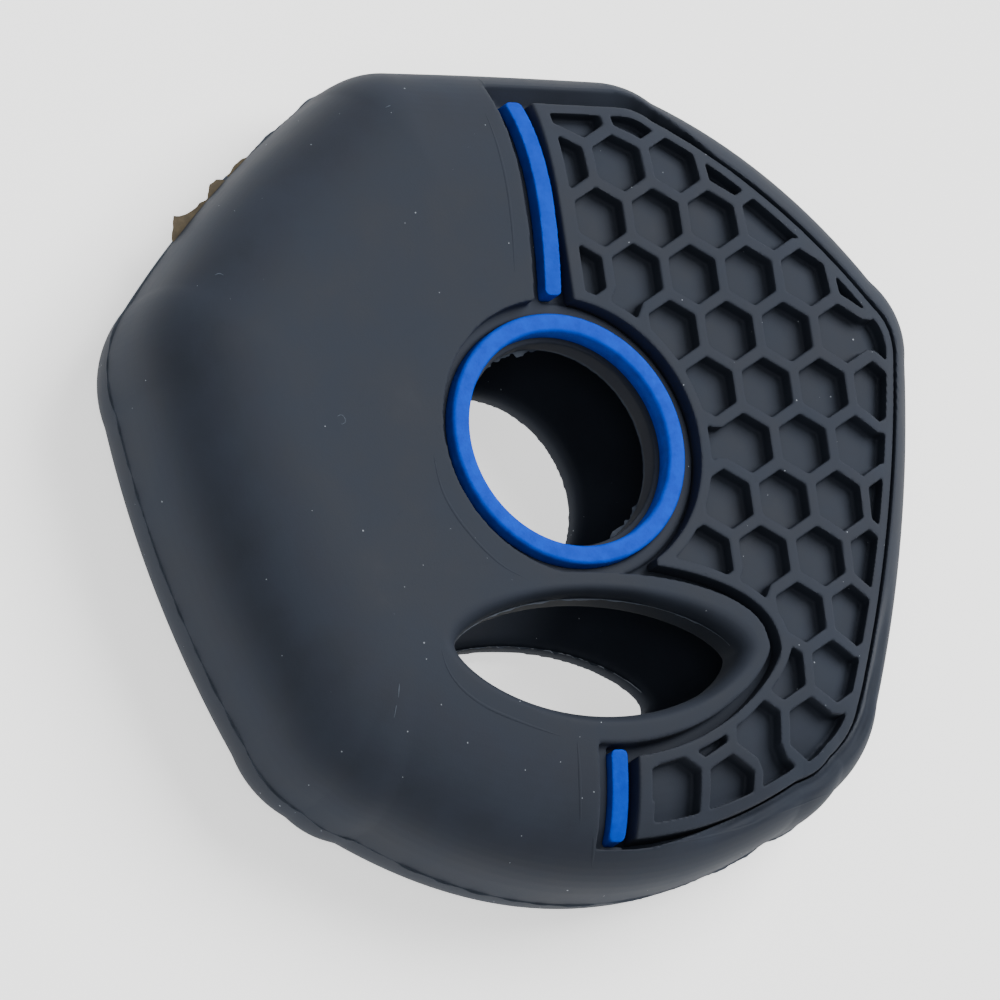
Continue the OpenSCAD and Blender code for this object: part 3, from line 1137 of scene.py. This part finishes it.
@dataclass
class GripPanel:
    """The honeycomb pad in the channel: a border, ribs and sunk cells."""

    channel: ChannelForm
    holes: HoleForm
    rim_gap: float = 0.45
    stripe_gap: float = 0.8
    ring_gap: float = 1.1
    lip_gap: float = 0.85
    sink: float = 0.15
    border: float = 0.8
    stripe_border: float = 1.05
    rib: float = 0.8
    pitch: float = 4.36
    row_pitch: float = 3.95
    point: float = 2.57
    cell_x: float = 15.75
    cell_y: float = 3.74
    floor: float = 0.3
    tip_x: float = 5.2
    tip: tuple[float, float] = (-12.0, -6.0)
    right_end: float = 30.3
    ends: tuple[float, float] = (-25.3, 27.0)
    rows: int = 8
    columns: int = 7
    # Row and column of a cell, then the way across the left-out rib in half pitches and rows
    missing_ribs: tuple[tuple[int, int, int, int], ...] = (
        (3, 0, 2, 0), (5, -3, -2, 0), (2, -2, -1, -1), (1, 1, 2, 0), (-1, -1, -2, 0), (-1, 1, 2, 0),
        (-3, -2, -2, 0), (-3, -1, -1, -1), (-5, 0, 2, 0), (-6, -1, 1, -1), (-6, 0, 2, 0), (-7, -3, -2, 0),
        (-7, -3, 0, -1), (-7, -2, 0, -1))
    missing_cells: tuple[tuple[int, int], ...] = ((1, -3), (-4, -1))
    moulding: Moulding = field(default_factory=lambda: Moulding(0.1, 4, 180_000))

    def build(self) -> bpy.types.Object:
        """Models the pad.

        Returns:
            The pad.
        """
        channel = self.channel
        pad = self.block("grip_pad", 0, 0)
        combine(pad, channel.form.skin("skin", self.sink, self.sink), Cut.SHARED)
        combine(pad, channel.floor("floor"), Cut.AWAY)
        cells = self.cells()
        combine(cells, self.block("inner", self.border, self.stripe_border), Cut.SHARED)
        combine(cells, channel.floor("cell_floor", self.floor), Cut.AWAY)
        combine(pad, cells, Cut.AWAY)
        self.moulding.shape(pad)
        return pad

    def block(self, name: str, inset: float, stripe_inset: float) -> bpy.types.Object:
        """The plan of the pad as a prism, with its border drawn in.

        Args:
            name: The solid's name.
            inset: How far the border is drawn in.
            stripe_inset: The same along the stripe.

        Returns:
            The solid.
        """
        channel, holes = self.channel, self.holes
        block = channel.upright(name, channel.outline(channel.rim + self.rim_gap + inset))
        x = channel.stripe_x + channel.stripe_w / 2 + self.stripe_gap + stripe_inset
        combine(block, channel.upright("right", box(x, -WIDE, WIDE, WIDE)), Cut.SHARED)
        low, high = self.tip
        for part, ring in (("post", circle(holes.groove - holes.groove_w + self.ring_gap + inset)),
                           ("lip", holes.lip(self.lip_gap + inset)),
                           ("blunt", box(0, low, self.tip_x + inset, high))):
            combine(block, channel.upright(part, ring), Cut.AWAY)
        return block

    def spot(self, row: int, column: int) -> Vector:
        """The middle of a cell."""
        return Vector((self.cell_x + (column + abs(row) % 2 / 2) * self.pitch,
                       self.cell_y + row * self.row_pitch))

    def cells(self) -> bpy.types.Object:
        """All the cells as one solid: hexagonal prisms and the gaps of the left-out ribs.

        Returns:
            The solid.
        """
        half = (self.pitch - self.rib) / 2
        tip = self.point - self.rib / math.sqrt(3)
        side = tip - half / math.sqrt(3)
        shape = [Vector(p) for p in (
            (0, tip), (-half, side), (-half, -side), (0, -tip), (half, -side), (half, side))]
        found = None
        for row in range(-self.rows, self.rows + 1):
            for column in range(-self.columns, self.columns + 1):
                middle = self.spot(row, column)
                inside = 0 < middle.x < self.right_end and self.ends[0] < middle.y < self.ends[1]
                if not inside or (row, column) in self.missing_cells:
                    continue
                cell = self.channel.upright("cell", [middle + p for p in shape])
                found = cell if found is None else join([found, cell])
        for row, column, across, up in self.missing_ribs:
            way = Vector((across * self.pitch / 2, up * self.row_pitch))
            width = half if across == 0 else side
            out = Vector((-way.y, way.x)).normalized() * width
            start = self.spot(row, column)
            gap = [start - out, start + way - out, start + way + out, start + out]
            combine(found, self.channel.upright("gap", gap), Cut.BOTH)
        return found


# Marks of the moulding

@dataclass
class Flash:
    """The thin torn skin of silicone that crept between the parts of the mould.

    Args:
        form: The sleeve's form.
        name: The piece's name.
        thickness: Its thickness at the root.
        step: The spacing of its sections.
        fine: How strong the finer of its two waves of raggedness is.
        fade: How fast it grows from an open end to its full width.
    """

    form: SleeveForm
    name: str
    thickness: float = 0.14
    step: float = 0.18
    fine: float = 0.4
    fade: float = 6

    def fringe(self, line: Ring, height: float, reach: tuple[float, float], grain: float, rise: float = 0,
               closed: bool = False) -> bpy.types.Object:
        """A ragged fringe along a level line.

        Args:
            line: The line, with the fringe to its right.
            height: Its height in millimetres.
            reach: How far the fringe reaches at its narrowest and at its widest.
            grain: The length of its ragged bits.
            rise: How far its edge stands above its root.
            closed: Whether the line runs back to its first point.

        Returns:
            The fringe.
        """
        roots = spread(line, self.step, closed)
        tips = []
        for i, p in enumerate(roots):
            ahead = roots[(i + 1) % len(roots)] if closed else roots[min(i + 1, len(roots) - 1)]
            along = (ahead - roots[max(i - 1, 0)]).normalized()
            spot = Vector((p.x / grain, p.y / grain, height))
            share = ramp(0.5 + noise.noise(spot) + self.fine * noise.noise(4 * spot), 0, 1)
            if not closed:
                share *= min(1, self.fade * min(i, len(roots) - 1 - i) / len(roots))
            tips.append(p + Vector((along.y, -along.x)) * (reach[0] + (reach[1] - reach[0]) * share))
        return self.web(roots, tips, height, rise, closed)

    def web(self, roots: Ring, tips: Ring, height: float, rise: float = 0,
            closed: bool = False) -> bpy.types.Object:
        """A thin level web between two lines.

        Args:
            roots: The line that it grows from.
            tips: Its torn edge, with as many points.
            height: Its height in millimetres.
            rise: How far its edge stands above its root.
            closed: Whether both lines run back to their first points.

        Returns:
            The web.
        """
        half = self.thickness / 2
        tops, feet, ends = (self.form.placed(ring, level) for ring, level in (
            (roots, height + half), (roots, height - half), (tips, height + rise)))
        sections = [list(section) for section in zip(tops, feet, ends)]
        return loft(self.name, [*sections, sections[0]] if closed else sections, closed)


@dataclass
class SkinLine:
    """Fine raised lines on the face, as scratches and joins in the steel of the mould leave them.

    Args:
        form: The sleeve's form.
        skin: The face that they lie on.
        width: The lines' width.
        height: How far they stand proud.
        step: The spacing of their sections.
    """

    form: SleeveForm
    skin: BVHTree
    width: float = 0.2
    height: float = 0.05
    step: float = 0.3

    def build(self, name: str, lines: list[list[tuple[float, float]]]) -> bpy.types.Object:
        """Models lines, each given by its points, as one piece."""
        return join([loft(name, self.sections(line)) for line in lines])

    def sections(self, line: list[tuple[float, float]]) -> list[Ring]:
        """The sections of one line, which fades out at its ends.

        Args:
            line: Its points.

        Returns:
            The sections.
        """
        spots = spread(eased([Vector(p) for p in line]), self.step, False)
        rings = []
        for i, p in enumerate(spots):
            above, = self.form.placed([p], 2 * self.form.height)
            place, normal = self.skin.ray_cast(above, Vector((0, 0, -1)))[:2]
            way = spots[min(i + 1, len(spots) - 1)] - spots[max(i - 1, 0)]
            side = Vector((way.x, way.y, 0)).cross(normal).normalized()
            fade = math.sqrt(math.sin(math.pi * (i + 0.5) / len(spots)))
            turns = [math.tau * k / 6 for k in range(6)]
            rings.append([place + fade * MM * (side * self.width / 2 * math.cos(a)
                                               + normal * self.height * math.sin(a)) for a in turns])
        return rings


# Ragged fringes in the button hole: their two ends in degrees and their widest reach
BORE_FRINGES = ((88, 134, 0.42), (-62, -30, 0.42), (134, 298, 0.09), (-30, 88, 0.09))
# Torn edge of the fin on the seam, then lines on the face
FIN_EDGE = (
    (-22.75, 16.3), (-22.3, 18.05), (-21.8, 18.0), (-20.85, 18.45), (-20.02, 19.05), (-19.55, 19.35),
    (-19.22, 20.3), (-18.67, 20.65), (-18.17, 20.66), (-17.51, 21.19), (-16.82, 21.94), (-16.39, 22.19),
    (-15.75, 22.37), (-15.27, 23.0), (-14.58, 23.47), (-13.48, 24.1), (-12.6, 24.85), (-11.9, 25.49),
    (-10.82, 26.13))
WITNESS_LINES = [
    [(-10.79, -1.4), (-10.67, -3.5), (-10.04, -5.25), (-8.62, -7.34), (-6.85, -9.14), (-5.3, -9.9)],
    [(-12.37, -15.07), (-12.17, -16.31), (-11.36, -17.56), (-10.11, -18.57), (-8.83, -19.24),
     (-6.5, -20.12), (-4.15, -20.85)],
    [(-2.9, -21.18), (-2.86, -22.84), (-2.83, -24.78), (-2.71, -26.5)],
    [(-2.5, 11.5), (-2.2, 14.0), (-2.05, 17.0), (-2.1, 20.0), (-2.3, 23.0)],
    [(-1.3, 24.5), (-1.2, 25.2), (-1.1, 25.9), (-1.05, 26.5)],
    [(-1.6, -27.3), (-1.4, -28.2), (-1.2, -28.8)],
    [(3.72, -27.67), (6.89, -27.13), (9.74, -26.43), (11.82, -25.74), (15.44, -24.51), (18.28, -23.47)]]
SCRATCHES = [
    [(-17.7, 1.2), (-17.35, 1.35), (-17.1, 1.05), (-17.2, 0.7), (-17.5, 0.65)],
    [(-15.8, -17.3), (-15.95, -18.2)], [(-16.1, -18.7), (-16.3, -19.5)],
    [(-9.8, 23.4), (-9.4, 23.55)], [(-24.4, 11.55), (-24.15, 11.65), (-23.95, 11.45)]]


# Studio

@dataclass
class Studio:
    """Pale floor, soft light and the photograph's camera.

    Args:
        right: The photograph's way to the right, in the frame.
        down: The photograph's way down, in the frame.
        scale: Pixels to a millimetre.
        ring_pixel: Where the ring's top centre lies in the photograph.
        frame_pixels: The side of the photograph in pixels.
        lens_mm: A long lens, because the photograph has almost no perspective.
        sensor_mm: The width of the camera's sensor.
        floor_gap: How far the floor lies below the cover, so that the two faces don't flicker.
    """

    right: Vector = field(default_factory=lambda: Vector((0.872, -0.142, 0.468)))
    down: Vector = field(default_factory=lambda: Vector((0.010, -0.951, -0.308)))
    scale: float = 15.0
    ring_pixel: tuple[float, float] = (570, 438)
    frame_pixels: int = 1000
    lens_mm: float = 1000.0
    sensor_mm: float = 36.0
    floor_gap: float = 0.02

    def camera(self, ring_top: Vector) -> None:
        """Stands the camera where the photograph was taken from.

        Args:
            ring_top: The ring's top centre in metres.
        """
        right = self.right.normalized()
        back = right.cross(-self.down).normalized()
        up = back.cross(right)
        half = self.frame_pixels / 2
        across, below = (p - half for p in self.ring_pixel)
        middle = ring_top - right * across / self.scale * MM + up * below / self.scale * MM
        distance = self.frame_pixels / self.scale * MM * self.lens_mm / self.sensor_mm
        lens = bpy.data.cameras.new("camera")
        lens.lens, lens.sensor_width = self.lens_mm, self.sensor_mm
        lens.clip_start, lens.clip_end = 0.05, 20
        camera = bpy.data.objects.new("camera", lens)
        bpy.context.scene.collection.objects.link(camera)
        camera.matrix_world = Matrix.Translation(middle + back * distance) @ Matrix(
            (right, up, back)).transposed().to_4x4()
        bpy.context.scene.camera = camera

    def light(self, name: str, place: Vector, size: float, watts: float) -> None:
        """Hangs a soft square light that looks at the object.

        Args:
            name: The light's name.
            place: Its place in metres.
            size: Its side in metres.
            watts: Its power.
        """
        lamp = bpy.data.lights.new(name, "AREA")
        lamp.shape, lamp.size, lamp.energy = "SQUARE", size, watts
        holder = bpy.data.objects.new(name, lamp)
        bpy.context.scene.collection.objects.link(holder)
        holder.location = place
        holder.rotation_euler = (-place).to_track_quat("-Z", "Y").to_euler()
        holder.visible_camera = False

    def floor(self) -> None:
        """Lays the floor that the cover lies on."""
        bpy.ops.object.select_all(action="DESELECT")
        bpy.ops.mesh.primitive_plane_add(size=6, location=mm(0, 0, -self.floor_gap))
        floor = bpy.context.active_object
        floor.name = "floor"
        floor.data.materials.append(LitPanelFinish().material())
        floor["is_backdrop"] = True

    def world(self, strength: float) -> None:
        """Fills the room with even light.

        Args:
            strength: How bright it is.
        """
        world = bpy.data.worlds.new("room")
        world.use_nodes = True
        shade = world.node_tree.nodes["Background"]
        shade.inputs["Color"].default_value = linear("#f4f6f8")
        shade.inputs["Strength"].default_value = strength
        bpy.context.scene.world = world


def add_marks(form: SleeveForm, holes: HoleForm, face: bpy.types.Object, sleeve: bpy.types.Material) -> None:
    """Adds the marks that the mould and the trimming leave.

    Args:
        form: The sleeve's form.
        holes: The holes' form.
        face: The finished front shell.
        sleeve: The sleeve's material.
    """
    raw, flash, chalky = RAW_EDGE.material(), FLASH.material(), CHALKY.material()
    seam = Flash(form, "seam_flash").fringe(
        form.outline(0.08), form.seam, reach=(0.1, 0.24), grain=1.6, closed=True)
    finish_piece(seam, raw, "back_silicone")

    near = spread(form.outline(0.3), step=0.1)
    shift, ragged = Vector((-0.2, 0.22)), 0.08
    tips = [p + shift + ragged * noise.noise_vector(Vector((p.x * 2, p.y * 2, 0))).to_2d()
            for p in spread([Vector(p) for p in FIN_EDGE], step=0.12, closed=False)]
    roots = [min(near, key=lambda q: (q - p).length_squared) for p in tips]
    fin = Flash(form, "torn_fin", thickness=0.3).web(roots, tips, form.seam)
    finish_piece(fin, flash, "back_silicone")

    # Each fringe's root lies a little inside the wall that it grows from
    inside = Flash(form, "bore_flash", thickness=0.12)
    level, root, steps = form.height - form.face_wall + 0.08, holes.radius + 0.06, 60
    bits = []
    for start, end, reach in BORE_FRINGES:
        turns = [math.radians(start + (end - start) * k / steps) for k in range(steps + 1)]
        arc = [root * Vector((math.cos(a), math.sin(a))) for a in reversed(turns)]
        bits.append(inside.fringe(arc, level, reach=(0.04, reach), grain=0.4, rise=-0.1))
    finish_piece(join(bits), raw, "face_silicone")

    loop_edge = Flash(form, "loop_flash", thickness=0.12)
    upper = [p for p in holes.loop() if p.y > 0.4 - holes.loop_y][::-1]
    crest = loop_edge.fringe(upper, form.height - holes.lip_round, reach=(0.02, 0.14), grain=0.9, rise=0.06)
    rear = [p for p in holes.rear_loop(0.1) if p.y > 0.8 - holes.loop_y][::-1]
    lower = loop_edge.fringe(rear, form.back_wall - 0.35, reach=(-0.02, 0.22), grain=0.5, rise=0.08)
    finish_piece(join([crest, lower]), raw, "face_silicone")

    skin = BVHTree.FromObject(face, bpy.context.evaluated_depsgraph_get())
    witness = SkinLine(form, skin, width=0.24, height=0.035).build("witness_lines", WITNESS_LINES)
    finish_piece(witness, sleeve, "face_silicone")
    scratches = SkinLine(form, skin, width=0.07, height=0.03, step=0.12).build("fine_scratches", SCRATCHES)
    finish_piece(scratches, chalky, "face_silicone")


def main() -> None:
    """Builds the studio and every piece of the cover."""
    logging.basicConfig(level=logging.INFO, format="%(name)s: %(message)s")
    cad_box = [list(corner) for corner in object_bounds()]
    ring_low, ring_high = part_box("button_ring")
    ring_top = (ring_low + ring_high) / 2
    ring_top.z = ring_high.z
    form, holes = SleeveForm(ring_top.y / MM, cad_box[1][1] / MM), HoleForm()
    channel = ChannelForm(form, holes)
    studio = Studio()
    studio.camera(ring_top)
    studio.floor()
    studio.world(strength=0.37)
    studio.light("key", Vector((0.62, 0.38, 0.97)), size=0.9, watts=24.5)
    studio.light("front_fill", Vector((-0.3, -0.16, 0.5)), size=0.2, watts=0.5)

    # The pad's paler silicone is painted light that lifts the shade in its cells
    sleeve, painted_light_grip = SLEEVE.material(), PAINTED_LIGHT_GRIP.material()
    face = FrontShell(form, holes, channel).build()
    finish_piece(face, sleeve, "face_silicone", "front_shell")
    finish_piece(RearShell(form, holes).build(), sleeve, "back_silicone", "rear_shell")
    finish_piece(ButtonRing(form, holes, channel).build(), RING_BLUE.material(), "ring_silicone",
                 "button_ring")
    stripe_blue = STRIPE_BLUE.material()
    low = holes.groove + channel.stripe_gap
    upper = Stripe(channel, "upper_stripe_trim", low, channel.top_y - channel.stripe_gap, channel.stripe_bow)
    finish_piece(upper.build(), stripe_blue, "stripe_silicone", "upper_stripe")
    lower = Stripe(channel, "lower_stripe_trim", channel.foot_y, holes.lip_low - channel.stripe_gap, 0)
    finish_piece(lower.build(), stripe_blue, "stripe_silicone", "lower_stripe")
    finish_piece(GripPanel(channel, holes).build(), painted_light_grip, "grip_silicone", "grip_panel")
    add_marks(form, holes, face, sleeve)


if __name__ == "__main__":
    main()
